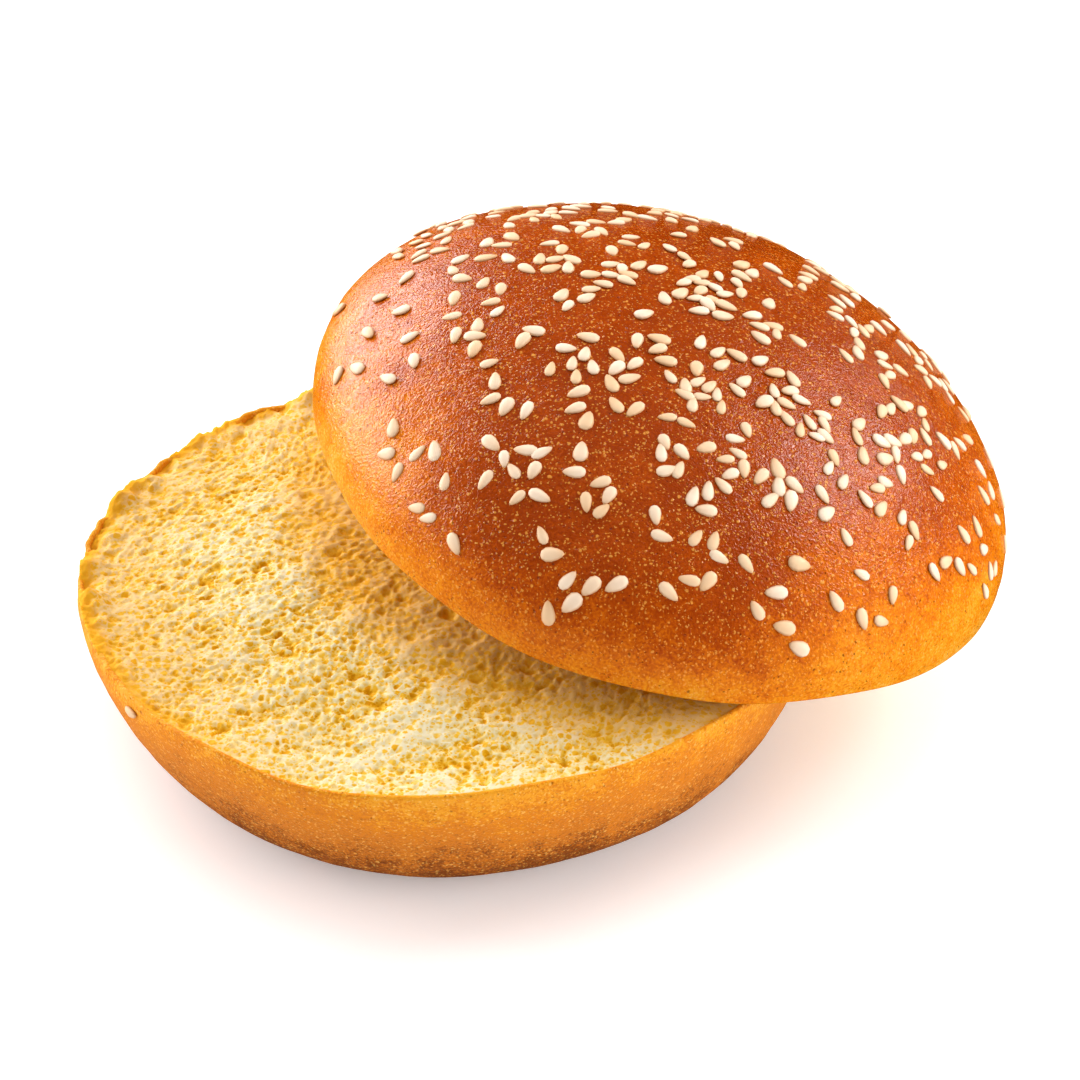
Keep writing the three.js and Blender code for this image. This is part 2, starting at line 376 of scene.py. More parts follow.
tornRim = {
    "towards": 2.5,  # angle of the middle of the stretch of the bottom half's rim that is torn
    "notchSize": 4.0,
    "notchDepth": 0.022,  # share of the radius
    "notchDrop": 0.9,
    "notchFrom": 0.9,  # share of the climb above which there are notches
    "lumpSize": 4.5,  # lumps of crumb that stand up along it
    "lumpHeight": 1.3,
    "lumpLift": 0.2,  # share of their height that all of it is raised by
    "lumpBand": (0.9, 0.98),  # shares of the radius between which they grow to full height
    # the crust is paler along the torn stretch, partly its own colour and partly painted light against its
    # shade
    "tornPaintedLight": 0.08,
}


def tornShare(angle):
    return smoothStep(0.1, 0.75, np.cos(angle - tornRim["towards"]))


def makeBottomCrust():
    c, t = crustLook, tornRim
    angle = ringAngles()
    climb = np.linspace(0, 1, c["sideRows"])[:, None]
    comingIn = smoothStep(0, c["baseEven"], climb)
    fading = 1 - c["rimEvened"] * smoothStep(c["rimEven"], 1, climb)
    strength = comingIn * fading * np.ones_like(angle)
    side = uneven(sidePoint(climb, angle * np.ones_like(climb)), strength, 5)
    notches = 0.5 + 0.5 * roughNoise(side[..., 0], side[..., 1], side[..., 2], t["notchSize"], 71, 3)
    notches = notches * tornShare(angle) * smoothStep(t["notchFrom"], 1, climb)
    side[..., :2] *= 1 - t["notchDepth"] * notches[..., None]
    side[..., 2] -= t["notchDrop"] * notches
    base = side[0] * np.linspace(0.05, 1, c["baseRows"])[:-1, None, None]
    lip, inside = lipAndInside(side[-1], towardsAxis(angle[0]), np.array([0, 0, -1.0]))
    points, faces = closedRings(np.concatenate([base, side, lip, inside]))
    turned = np.arctan2(points[:, 1], points[:, 0])
    # paler along the torn stretch, partly painted light against its shade
    bake = c["baseBake"] - points[:, 2] / cutPlace(1, turned)[2] - t["tornPaintedLight"] * tornShare(turned)
    world = bottomToWorld(points)
    return addPiece("bottomCrust", world, faces, ["bottom_half"], {"bake": bake})


# Crumb

crumbLook = {
    "grid": 308,
    "crowdLeft": 0.2,  # the grid is finer on the left and in front, where the crumb shows
    "crowdFront": 0.15,
    "caves": (4.6, 0.02, 0.3, 0.4),  # cell size, smallest and largest radius in cells, depth in radii
    "pores": (1.25, 0.2, 0.56, 0.8),
    "pinholes": (0.7, 0.25, 0.55, 1.0),
    "sink": 0.3,  # most that a hole's middle lies above the cut, in radii
    "openness": 0.85,  # depth of the pores on level crumb, and how much more or less in dips and on lumps
    "openDips": 0.35,
    "porePart": 0.4,  # shares of a pore's and a pinhole's depth that add up where they meet
    "pinholePart": 0.8,
    "fullDepth": 0.95,  # millimetres down a hole where the crumb has its deepest painted shade
    "lumpShade": 0.6,  # how much painted light pales a lump and painted shade deepens a dip, for a millimetre of height
    "lumpSize": 9.0,
    "lumpHeight": 0.24,
    "lumpSlant": 0.6,  # the lumps are drawn out along a slanting line
    "lumpStretch": 1.5,
    "tearSize": 1.8,
    "tearHeight": 0.12,
    "fuzzSize": 0.7,
    "fuzzHeight": 0.06,
    "wander": 0.34,  # millimetres that the pores are bent out of round
    "wanderSize": 1.4,
    "calmFrom": 0.97,  # share of the radius where the relief starts to fade, and how far it fades
    "calmed": 0.75,
    "under": 0.25,  # how far the crumb goes under the crust's lip
    "skirt": [(2.5, 0.015), (4.3, 0.035)],  # rings that close it below: drop, and how far they are set in
    "skirtEnd": 0.5,
}


def bubbles(x, y, cell, smallest, largest, depth, salt):
    # craters of cut bubbles, one to a cell: depth sqrt(r² - d²) less a random sink; the deepest counts
    gx, gy = x / cell, y / cell
    ix, iy = np.floor(gx), np.floor(gy)
    deepest = np.zeros_like(x)
    for ox in (-1, 0, 1):
        for oy in (-1, 0, 1):
            cx, cy = ix + ox, iy + oy
            apart = (gx - cx - cellDraw(cx, cy, 0, salt)) ** 2 + (gy - cy - cellDraw(cx, cy, 1, salt)) ** 2
            radius = smallest + (largest - smallest) * cellDraw(cx, cy, 2, salt)
            sink = radius * crumbLook["sink"] * cellDraw(cx, cy, 3, salt)
            crater = np.sqrt(np.maximum(0, radius**2 - apart)) - sink
            deepest = np.maximum(deepest, crater * cell * depth)
    return deepest


def crumbRelief(x, y, salt):
    # returns the height over the cut and how deep in a pore each point is, from 0 to 1, which the material
    # turns into painted shade
    c = crumbLook
    zero = np.zeros_like(x)
    bx = x + c["wander"] * roughNoise(x, y, zero, c["wanderSize"], salt + 1, 2)
    by = y + c["wander"] * roughNoise(x, y, zero, c["wanderSize"], salt + 2, 2)
    caves = bubbles(bx, by, *c["caves"], salt + 3)
    pores = bubbles(bx, by, *c["pores"], salt + 4)
    pinholes = bubbles(bx, by, *c["pinholes"], salt + 5)
    slant = c["lumpSlant"]
    waves = roughNoise(x + slant * y, c["lumpStretch"] * (y - slant * x), zero, c["lumpSize"], salt + 6, 2)
    openness = c["openness"] - c["openDips"] * waves
    meeting = c["porePart"] * pores + c["pinholePart"] * pinholes
    holes = caves + openness * np.maximum(pores, meeting)
    lumps = c["lumpHeight"] * waves
    tears = c["tearHeight"] * roughNoise(x, y, zero, c["tearSize"], salt + 7, 2)
    fuzz = c["fuzzHeight"] * roughNoise(x, y, zero, c["fuzzSize"], salt + 8, 2)
    # the depth paints shade in the pores, and the lumps come out paler as painted light
    depth = np.clip(holes / c["fullDepth"] - c["lumpShade"] * lumps, 0, 1)
    return lumps + tears + fuzz - holes, depth


def crumbSkirt(place, angle, inner, flip):
    # three rings behind the crust, drawn in towards their middle, that close the crumb
    c = crumbLook
    x, y, z = place(np.full_like(angle, inner), angle)
    middleX, middleY = x.mean(), y.mean()
    (nearDrop, nearInset), (farDrop, farInset) = c["skirt"]
    scales = (inner - nearInset, inner - farInset, c["skirtEnd"])
    rings = []
    for drop, scale in zip((nearDrop, farDrop, farDrop), scales):
        k = scale / inner
        ringX = middleX + (x - middleX) * k
        ringY = middleY + (y - middleY) * k
        rings.append(np.stack([ringX, ringY, z - flip * drop], -1))
    return np.array(rings)


rimGoldAndGlowLook = {
    "wideBand": (0.55, 0.95),  # shares of the radius between which the crumb turns golden, half of it each; partly its own golden edge and partly painted shade on that side
    "rimBand": (0.94, 0.985),
    "topBand": (1.0, 1.2),  # shares of the top half's radius between which the painted glow of light bounced from its crust fades
    "paintedGlow": 0.65,
}


def rimGoldAndPaintedGlow(x, y, z, share, angle):
    # how golden the bottom crumb is: along its left and back rim, partly its own colour and partly painted
    # shade, and beside the top half's crust, a painted glow of light bounced from it
    w = rimGoldAndGlowLook
    rim = 0.5 * smoothStep(*w["wideBand"], share) + 0.5 * smoothStep(*w["rimBand"], share)
    rim = rim * smoothStep(-0.5, 0.5, np.cos(angle - tornRim["towards"]))
    nearTopPaintedGlow = 1 - smoothStep(*w["topBand"], hangingCrumb(x, y, z)[1])
    return np.maximum(rim, w["paintedGlow"] * nearTopPaintedGlow)


def makeCrumb(name, node, place, salt, flip, toWorld):
    # a square grid laid over the cut as a disc and pushed by the relief; flip is 1 for a cut that faces up
    c, t = crumbLook, tornRim
    facesUp = flip > 0
    u, v = np.meshgrid(np.linspace(-1, 1, c["grid"]), np.linspace(-1, 1, c["grid"]), indexing="xy")
    if facesUp:
        u = u + c["crowdLeft"] * (u * u - 1)
        v = v + c["crowdFront"] * (v * v - 1)
    share, angle = squareToDisc(u, v)
    inner = 1 - (crustLook["lipWidth"] - c["under"]) / bottomHalf["rimRadius"]
    x, y, z = place(share * inner, angle)
    relief, depth = crumbRelief(x, y, salt)
    calm = 1 - c["calmed"] * smoothStep(c["calmFrom"], 1, share)
    rimGoldAndGlow = np.zeros_like(x)
    if facesUp:
        torn = tornShare(angle) * smoothStep(*t["lumpBand"], share)
        lumps = t["lumpLift"] + roughNoise(x, y, np.zeros_like(x), t["lumpSize"], salt + 9, 3)
        relief = relief + torn * t["lumpHeight"] * lumps
        calm = np.maximum(calm, torn)
    z = z + flip * relief * calm
    if facesUp:
        z = pressed(x, y, z)
        rimGoldAndGlow = rimGoldAndPaintedGlow(x, y, z, share, angle)
    skirt = crumbSkirt(place, angle.ravel()[gridBorder(c["grid"])], inner, flip)
    points, faces = closedSlab(np.stack([x, y, z], -1), skirt)
    if not facesUp:
        faces = [face[::-1] for face in faces]
    spare = np.ones(len(points) - x.size)
    # the edge mark carries the golden rim, partly painted shade, and the painted glow beside the top half
    marks = {"depth": np.concatenate([depth.ravel(), spare]), "edge": np.concatenate([rimGoldAndGlow.ravel(), spare])}
    return addPiece(name, toWorld(points), faces, [node], marks)


def topCut(share, angle):
    radius = topHalf["rimRadius"] * topOutline(angle) * share
    return radius * np.cos(angle), radius * np.sin(angle), underHeight(share, angle)


# Sesame seeds

seedLook = {
    "length": 3.2,
    "width": 1.95,
    "thickness": 0.95,
    "stations": (-0.9, -0.55, -0.1, 0.4, 0.78),  # where its rings lie, from -1 at the round end to 1
    "fill": 0.93,
    "taper": 0.36,
    "flatness": 0.4,  # share of the thickness above and below the middle
    "paleFrom": (-0.1, 0.25),  # shares of the thickness between which its upper side turns pale
    "pointTint": 0.5,  # how much less pale its point is
    "sizeSpread": 0.13,
    "slimSpread": 0.12,
    "count": 430,
    "solid": 205,  # how many of them the frame has
    "lowest": 0.16,  # share of the dome's rise where they start, and where they lie at their thickest
    "thinning": 0.42,
    "sideThinning": 0.06,
    "clumpShare": 0.4,  # share of the draws that lie beside the last lone seed, and how far at most
    "clumpReach": 3.2,
    "nearest": 2.2,  # least distance from any other seed for one in a clump, and for a lone one
    "spread": 3.9,
    "crowding": 0.7,  # both distances are less by this factor once the frame's seeds lie in place
    "lift": 0.12,
    "stray": (2.4, 3.77, 0.4),  # one more on the bottom half: how far below the rim, angle and heading
    "start": 2027,
    "around": 8,
}


def planPoint(radius, angle):
    return np.array([radius * math.cos(angle), radius * math.sin(angle)])


def scatterSeeds():
    # places and headings drawn one after another, thickest on the crown, some beside another seed
    s, t = seedLook, topHalf
    draw = makeDraw(s["start"])
    plans, places = [], []
    anchor = None
    while len(places) < s["count"]:
        beside = draw() < s["clumpShare"] and anchor is not None
        far, turn, heading, chance = draw(), draw() * fullTurn, draw() * fullTurn, draw()
        rise = s["lowest"] + far * (1 - s["lowest"])
        radius = t["rimRadius"] * (1 - rise ** t["domeRise"]) ** (1 / t["domeRound"])
        reach = s["nearest"] + far * (s["clumpReach"] - s["nearest"])
        room = s["nearest"] if beside else s["spread"]
        room *= s["crowding"] if len(places) >= s["solid"] else 1
        plan = planPoint(reach, turn) + anchor if beside else planPoint(radius, turn)
        angle = math.atan2(plan[1], plan[0]) % fullTurn
        share = min(1, math.hypot(*plan) / (t["rimRadius"] * topOutline(angle)))
        rise = (1 - share ** t["domeRound"]) ** (1 / t["domeRise"])
        thinning = s["thinning"] - s["sideThinning"] * math.cos(2 * angle)
        likely = rise * smoothStep(s["lowest"], thinning, rise)
        clear = all(math.hypot(*(other - plan)) > room for other in plans)
        if chance > likely or not clear:
            continue
        plans.append(plan)
        places.append((math.asin(rise) * 2 / math.pi, angle, heading))
        if not beside:
            anchor = plan
    return np.array(places)


def layOn(surface, u, v, heading, lift):
    # origins and axes (along, side, out) of seeds laid on a surface of two parameters
    nudge = 1e-3
    alongU = surface(u + nudge, v) - surface(u - nudge, v)
    alongV = surface(u, v + nudge) - surface(u, v - nudge)
    alongV = alongV / np.linalg.norm(alongV, axis=-1, keepdims=True)
    out = np.cross(alongV, alongU)
    out = out / np.linalg.norm(out, axis=-1, keepdims=True)
    across = np.cross(out, alongV)
    along = alongV * np.cos(heading)[:, None] + across * np.sin(heading)[:, None]
    return surface(u, v) + out * lift, np.stack([along, np.cross(out, along), out], -1)


def seedShape():
    # a flat drop: half width (1 - taper s) sqrt(1 - s²), s from -1 at the round end to 1 at the point,
    # and half thickness by the power 0.8 of that
    s = seedLook
    station = np.array(s["stations"])[:, None]
    wide = (1 - s["taper"] * station) * np.sqrt(1 - station**2) * s["fill"]
    turn = (np.arange(s["around"]) / s["around"] * fullTurn)[None, :]
    x = station * s["length"] / 2 * np.ones_like(turn)
    y = wide * np.cos(turn) * s["width"] / 2
    z = wide**0.8 * np.sin(turn) * s["thickness"] * s["flatness"]
    return np.stack([x, y, z], -1)


def makeSeeds():
    s = seedLook
    places = scatterSeeds()
    origin, axes = layOn(domePoint, *places.T, s["lift"])
    below, strayAngle, strayHeading = np.array([s["stray"]]).T
    climb = 1 - below / bottomHalf["rimHeight"]
    strayOrigin, strayAxes = layOn(sidePoint, climb, strayAngle, strayHeading, s["lift"])
    origin = np.concatenate([topToWorld(origin), bottomToWorld(strayOrigin)])
    axes = np.concatenate([topTurn @ axes, strayAxes])
    ring = seedShape()
    ends = np.array([[[-s["length"] / 2, 0, 0]], [[s["length"] / 2, 0, 0]]])
    rows, columns = ring.shape[:2]
    body = np.concatenate([ring.reshape(-1, 3), ends.reshape(-1, 3)])
    around = np.arange(columns)
    after = (around + 1) % columns
    last = (rows - 1) * columns
    faces = [face[::-1] for face in gridFaces(rows, columns, True).tolist()]
    faces += np.stack([around, after, np.full(columns, rows * columns)], -1).tolist()
    faces += np.stack([last + after, last + around, np.full(columns, rows * columns + 1)], -1).tolist()
    number = np.arange(len(origin))
    larger = (number < s["solid"]) | (number == len(places))  # the seeds that the frame has are the largest
    size = 1 + np.where(larger, 1, -1) * s["sizeSpread"] * cellDraw(number, 1, 0, 0)
    slim = 1 + s["slimSpread"] * (2 * cellDraw(number, 2, 0, 0) - 1)
    local = body[None] * size[:, None, None] * np.stack([np.ones_like(slim), slim, slim], -1)[:, None, :]
    points = origin[:, None, :] + np.einsum("nij,nkj->nki", axes, local)
    allFaces = [[i + k * len(body) for i in face] for k in number for face in faces]
    tone = np.repeat(cellDraw(number, 3, 0, 0), len(body))
    tip = body[:, 0] / s["length"] + 0.5
    pale = smoothStep(*s["paleFrom"], body[:, 2] / s["thickness"]) * (1 - s["pointTint"] * tip**3)
    return addPiece(
        "sesameSeeds", points.reshape(-1, 3), allFaces, ["top_half", "bottom_half"],
        {"tone": tone, "pale": np.tile(pale, len(number))},
    )


topCrust = makeTopCrust()
bottomCrust = makeBottomCrust()
bottomCrumb = makeCrumb("bottomCrumb", "bottom_half", cutPlace, 11, 1, bottomToWorld)
topCrumb = makeCrumb("topCrumb", "top_half", topCut, 61, -1, topToWorld)
sesameSeeds = makeSeeds()


# Materials

bumpDistance = 0.15  # millimetres


def paint(red, green, blue):
    # a screen colour from 0 to 255 as the linear colour that the shader takes: ((c + 0.055) / 1.055)^2.4
    linear = [((c / 255 + 0.055) / 1.055) ** 2.4 if c > 10 else c / 3295 for c in (red, green, blue)]
    return (*linear, 1)


def newMaterial(name):
    material = bpy.data.materials.new(name)
    material.use_nodes = True
    tree = material.node_tree
    return material, tree, tree.nodes["Principled BSDF"]


def addNode(tree, kind, **values):
    # a shader node with its settings, and its inputs by name with a leading capital
    node = tree.nodes.new("ShaderNode" + kind)
    for name, value in values.items():
        if name[0].isupper():
            socket = node.inputs[name.replace("_", " ")]
            if isinstance(value, bpy.types.NodeSocket):
                tree.links.new(value, socket)
            else:
                socket.default_value = value
        else:
            setattr(node, name, value)
    return node


def setRamp(node, stops):
    ramp = node.color_ramp
    while len(ramp.elements) < len(stops):
        ramp.elements.new(0.5)
    for element, (place, colour) in zip(ramp.elements, stops):
        element.position = place
        element.color = colour


def mixColour(tree, factor, first, second):
    # a Mix node takes colours at its inputs 6 and 7, and gives one at its output 2
    node = addNode(tree, "Mix", data_type="RGBA")
    for value, index in ((factor, 0), (first, 6), (second, 7)):
        if isinstance(value, bpy.types.NodeSocket):
            tree.links.new(value, node.inputs[index])
        else:
            node.inputs[index].default_value = value
    return node.outputs[2]


def combine(tree, operation, first, second, clamp=False):
    # one Math node on two numbers or sockets
    node = addNode(tree, "Math", operation=operation, use_clamp=clamp)
    for value, socket in zip((first, second), node.inputs):
        if isinstance(value, bpy.types.NodeSocket):
            tree.links.new(value, socket)
        else:
            socket.default_value = value
    return node.outputs[0]


def multiplyAdd(tree, value, factor, addend):
    node = addNode(tree, "Math", operation="MULTIPLY_ADD")
    tree.links.new(value, node.inputs[0])
    node.inputs[1].default_value = factor
    node.inputs[2].default_value = addend
    return node.outputs[0]


def bentPlace(tree, place, size, detail, strength):
    # place + strength times a noise colour, in millimetres, which bends the patterns that read it
    noise = addNode(tree, "TexNoise", Vector=place, Scale=1 / (size * mm), Detail=detail)
    bent = addNode(tree, "VectorMath", operation="MULTIPLY_ADD")
    tree.links.new(noise.outputs["Color"], bent.inputs[0])
    bent.inputs[1].default_value = [strength * mm] * 3
    tree.links.new(place, bent.inputs[2])
    return bent.outputs[0]


def spots(tree, place, spacing, radius, share):
    # 1 inside round spots in a share of the cells of a Voronoi pattern, fading to 0 at their edge
    # a spot's radius is drawn between 0.6 and 1.3 of the given one
    cells = addNode(tree, "TexVoronoi", Vector=place, Scale=1 / (spacing * mm), Randomness=1.0)
    drawn = addNode(tree, "SeparateColor", Color=cells.outputs["Color"])
    chosen = combine(tree, "LESS_THAN", drawn.outputs[0], share)
    size = multiplyAdd(tree, drawn.outputs[1], radius * 0.7 / spacing, radius * 0.6 / spacing)
    near = combine(tree, "DIVIDE", cells.outputs["Distance"], size)
    inside = combine(tree, "MULTIPLY", combine(tree, "SUBTRACT", 1, near, True), 2, True)
    return combine(tree, "MULTIPLY", inside, chosen)


foamLook = {
    "layers": [(1.25, 1.0), (0.65, 0.75)],  # sizes of the fine cells and how much painted shade their hollows get
    "wall": 0.04,  # half thickness of their walls and softness of their edges, as shares of the size
    "soft": 0.14,
    "smallest": 0.35,  # radius of the smallest hollow, and how much more others may have, in sizes
    "larger": 0.3,
    "shallow": 0.2,  # least painted shade of a hollow
    "bend": (1.1, 2.0, 0.6),  # size and detail of the noise that bends them, and how far
    "fibreSize": 0.35,
    "hollowShadeTint": 0.72,
    "fibreTint": 0.3,
}


def makeFoam():
    # painted shade of round holes with thin walls between them, at two sizes: up to 1 inside, each to its
    # own depth
    tree = bpy.data.node_groups.new("foam", "ShaderNodeTree")
    tree.interface.new_socket("Place", in_out="INPUT", socket_type="NodeSocketVector")
    for name in ("HollowShade", "Fibre"):
        tree.interface.new_socket(name, in_out="OUTPUT", socket_type="NodeSocketFloat")
    source = tree.nodes.new("NodeGroupInput").outputs["Place"]
    place = bentPlace(tree, source, *foamLook["bend"])
    hollowShade = 0.0
    for size, weight in foamLook["layers"]:
        scale = 1 / (size * mm)
        walls = addNode(tree, "TexVoronoi", feature="DISTANCE_TO_EDGE", Vector=place, Scale=scale)
        cells = addNode(tree, "TexVoronoi", Vector=place, Scale=scale)
        drawn = addNode(tree, "SeparateColor", Color=cells.outputs["Color"]).outputs
        radius = multiplyAdd(tree, drawn[1], foamLook["larger"], foamLook["smallest"])
        withinCircle = combine(tree, "SUBTRACT", radius, cells.outputs["Distance"])
        offWall = combine(tree, "SUBTRACT", walls.outputs["Distance"], foamLook["wall"])
        within = combine(tree, "MINIMUM", withinCircle, offWall)
        inside = combine(tree, "DIVIDE", within, foamLook["soft"], True)
        least = foamLook["shallow"] * weight
        depth = multiplyAdd(tree, drawn[0], weight - least, least)
        hollowShade = combine(tree, "MAXIMUM", hollowShade, combine(tree, "MULTIPLY", inside, depth))
    fibre = addNode(tree, "TexNoise", Vector=source, Scale=1 / (foamLook["fibreSize"] * mm), Detail=3.0)
    target = tree.nodes.new("NodeGroupOutput")
    tree.links.new(hollowShade, target.inputs["HollowShade"])
    tree.links.new(fibre.outputs["Fac"], target.inputs["Fibre"])
    return tree


foam = makeFoam()

# the crumb's pale colour, then ever deeper painted shade down its pores
crumbPoreShadeColours = [
    (0.0, paint(222, 209, 174)), (0.22, paint(224, 200, 138)), (0.5, paint(225, 178, 56)),
    (0.8, paint(214, 150, 4)), (1.0, paint(198, 130, 0)),
]
# golden colour of the crumb's left and back rim, partly painted shade, and of the painted glow beside the
# top half's crust
rimGoldAndGlowColour = paint(226, 160, 30)


def crumbMaterial():
    # the crumb's pale colour with painted shade from the depth of the modelled pores and of the fine cells
    # between them
    material, tree, shader = newMaterial("crumb")
    place = addNode(tree, "TexCoord").outputs["Object"]
    cells = tree.nodes.new("ShaderNodeGroup")
    cells.node_tree = foam
    tree.links.new(place, cells.inputs["Place"])
    # the pores' depth and the fine cells' hollows paint shade into the crumb
    depth = addNode(tree, "Attribute", attribute_name="depth").outputs["Fac"]
    hollowShade = combine(tree, "MULTIPLY", cells.outputs["HollowShade"], foamLook["hollowShadeTint"])
    fibre = combine(tree, "SUBTRACT", cells.outputs["Fibre"], 0.5)
    fibre = combine(tree, "MULTIPLY", fibre, foamLook["fibreTint"])
    total = combine(tree, "ADD", combine(tree, "ADD", depth, hollowShade), fibre, True)
    ramp = addNode(tree, "ValToRGB", Fac=total)
    setRamp(ramp, crumbPoreShadeColours)
    # the golden rim, partly painted shade, and the painted glow beside the top half's crust
    edge = addNode(tree, "Attribute", attribute_name="edge").outputs["Fac"]
    rimGoldAndGlow = mixColour(tree, edge, ramp.outputs["Color"], rimGoldAndGlowColour)
    tree.links.new(rimGoldAndGlow, shader.inputs["Base Color"])
    bump = addNode(tree, "Bump", Height=cells.outputs["Fibre"], Strength=0.6, Distance=bumpDistance * mm)
    tree.links.new(bump.outputs["Normal"], shader.inputs["Normal"])
    shader.inputs["Roughness"].default_value = 0.85
    shader.inputs["Specular IOR Level"].default_value = 0.2
    shader.subsurface_method = "BURLEY"
    shader.inputs["Subsurface Weight"].default_value = 0.5
    shader.inputs["Subsurface Radius"].default_value = (1.0, 0.7, 0.2)
    shader.inputs["Subsurface Scale"].default_value = 0.6 * mm
    return material


skinLook = {
    "wrinkleSize": 0.42,  # millimetres, as are the sizes and spacings below
    "mottleSize": 2.6,
    "patchSize": 11.0,
    "bend": (1.4, 1.0, 0.8),  # size and detail of the noise that bends the wrinkles, and how far
    "curl": (0.5, 0.0, 0.45),  # the same for the blisters
    "blister": (0.8, 0.24, 0.75),  # spacing, radius and share of the cells that have one
    "fineBlister": (0.48, 0.15, 0.7),
    "blisterHeight": 0.4,  # next to the pits, which are 1 deep
    "wrinkleHeight": 1.6,
    "pit": (0.9, 0.17, 0.7),
}


def makeBakedSkin():
    # height of a crust's fine relief, masks of its pale blisters, partly painted glints, and of its dark
    # pits, painted shade, and two sizes of mottling
    tree = bpy.data.node_groups.new("bakedSkin", "ShaderNodeTree")
    tree.interface.new_socket("Place", in_out="INPUT", socket_type="NodeSocketVector")
    for name in ("Height", "BlistersAndGlints", "Pits", "Mottle", "Grain"):
        tree.interface.new_socket(name, in_out="OUTPUT", socket_type="NodeSocketFloat")
    source = tree.nodes.new("NodeGroupInput").outputs["Place"]
    s = skinLook
    place = bentPlace(tree, source, *s["bend"])
    curled = bentPlace(tree, source, *s["curl"])
    coarse, fine = [spots(tree, curled, *s[size]) for size in ("blister", "fineBlister")]
    blisters = combine(tree, "MAXIMUM", coarse, fine)
    pits = spots(tree, place, *s["pit"])
    wrinkle = addNode(tree, "TexNoise", Vector=place, Scale=1 / (s["wrinkleSize"] * mm), Detail=2.0)
    mottle = addNode(tree, "TexNoise", Vector=source, Scale=1 / (s["mottleSize"] * mm), Detail=4.0)
    patch = addNode(tree, "TexNoise", Vector=source, Scale=1 / (s["patchSize"] * mm), Detail=2.0)
    mixed = combine(tree, "ADD", mottle.outputs["Fac"], patch.outputs["Fac"])
    raised = combine(tree, "SUBTRACT", combine(tree, "MULTIPLY", blisters, s["blisterHeight"]), pits)
    wrinkled = combine(tree, "MULTIPLY", wrinkle.outputs["Fac"], s["wrinkleHeight"])
    height = combine(tree, "ADD", raised, wrinkled)
    target = tree.nodes.new("NodeGroupOutput")
    results = {"Height": height, "BlistersAndGlints": blisters, "Pits": pits, "Mottle": mixed}
    results["Grain"] = wrinkle.outputs["Fac"]
    for name, socket in results.items():
        tree.links.new(socket, target.inputs[name])
    return tree


bakedSkin = makeBakedSkin()


def crustMaterial(name, stops, look):
    # colour from how brown each point is baked, mottled and grained, with pale blisters that are partly
    # painted glints and painted shade in the pits
    material, tree, shader = newMaterial(name)
    place = addNode(tree, "TexCoord").outputs["Object"]
    skin = tree.nodes.new("ShaderNodeGroup")
    skin.node_tree = bakedSkin
    tree.links.new(place, skin.inputs["Place"])
    bake = addNode(tree, "Attribute", attribute_name="bake").outputs["Fac"]
    mottle = combine(tree, "MULTIPLY", combine(tree, "SUBTRACT", skin.outputs["Mottle"], 1), look["mottle"])
    grain = combine(tree, "MULTIPLY", combine(tree, "SUBTRACT", skin.outputs["Grain"], 0.5), look["grain"])
    patchy = combine(tree, "ADD", mottle, grain)
    ramp = addNode(tree, "ValToRGB", Fac=combine(tree, "ADD", bake, patchy, True))
    setRamp(ramp, stops)
    # pale blisters, partly their own colour and partly painted glints
    pale = combine(tree, "MULTIPLY", skin.outputs["BlistersAndGlints"], look["blisterGlintTint"], True)
    # painted shade in the pits
    pitShade = combine(tree, "MULTIPLY", skin.outputs["Pits"], look["pitShadeTint"], True)
    colour = mixColour(tree, pale, ramp.outputs["Color"], look["blisterGlintColour"])
    colour = mixColour(tree, pitShade, colour, look["pitShadeColour"])
    tree.links.new(colour, shader.inputs["Base Color"])
    relief = skin.outputs["Height"]
    bump = addNode(tree, "Bump", Height=relief, Strength=look["bump"], Distance=bumpDistance * mm)
    tree.links.new(bump.outputs["Normal"], shader.inputs["Normal"])
    shader.inputs["Roughness"].default_value = look["roughness"]
    shader.inputs["Specular IOR Level"].default_value = look["shine"]
    return material


def seedMaterial():
    # each seed has its own tone, paler in the middle of its upper side and browner to its edge and point
    material, tree, shader = newMaterial("sesame")
    tone = addNode(tree, "Attribute", attribute_name="tone").outputs["Fac"]
    pale = addNode(tree, "Attribute", attribute_name="pale").outputs["Fac"]
    flesh = mixColour(tree, tone, paint(236, 197, 154), paint(246, 223, 199))
    colour = mixColour(tree, pale, paint(206, 150, 92), flesh)
    tree.links.new(colour, shader.inputs["Base Color"])
    shader.inputs["Roughness"].default_value = 0.45
    shader.inputs["Specular IOR Level"].default_value = 0.3
    return material


# blister colours are partly painted glints, pit colours painted shade
topSkin = {
    "mottle": 0.45, "grain": 0.75, "bump": 0.75, "roughness": 0.19, "shine": 0.45,
    "blisterGlintTint": 0.55, "blisterGlintColour": paint(250, 176, 72),
    "pitShadeTint": 0.7, "pitShadeColour": paint(112, 36, 0),
}
bottomSkin = {
    "mottle": 0.6, "grain": 1.0, "bump": 1.0, "roughness": 0.6, "shine": 0.15,
    "blisterGlintTint": 0.7, "blisterGlintColour": paint(248, 188, 90),
    "pitShadeTint": 0.42, "pitShadeColour": paint(140, 66, 6),
}
browning = [
    (0.0, paint(246, 187, 84)), (0.15, paint(240, 158, 28)), (0.35, paint(229, 126, 2)),
    (0.55, paint(205, 97, 1)), (0.75, paint(174, 69, 0)), (1.0, paint(150, 53, 0)),
]
sideBrowning = [
    (0.0, paint(238, 158, 32)), (0.1, paint(230, 140, 12)), (0.22, paint(221, 127, 8)),
    (0.36, paint(218, 126, 22)), (0.61, paint(204, 115, 22)), (0.78, paint(166, 86, 14)),
    (0.91, paint(136, 68, 8)),
]
topCrust.data.materials.append(crustMaterial("eggWashedCrust", browning, topSkin))
bottomCrust.data.materials.append(crustMaterial("sideCrust", sideBrowning, bottomSkin))
crumbPaint = crumbMaterial()
bottomCrumb.data.materials.append(crumbPaint)
topCrumb.data.materials.append(crumbPaint)
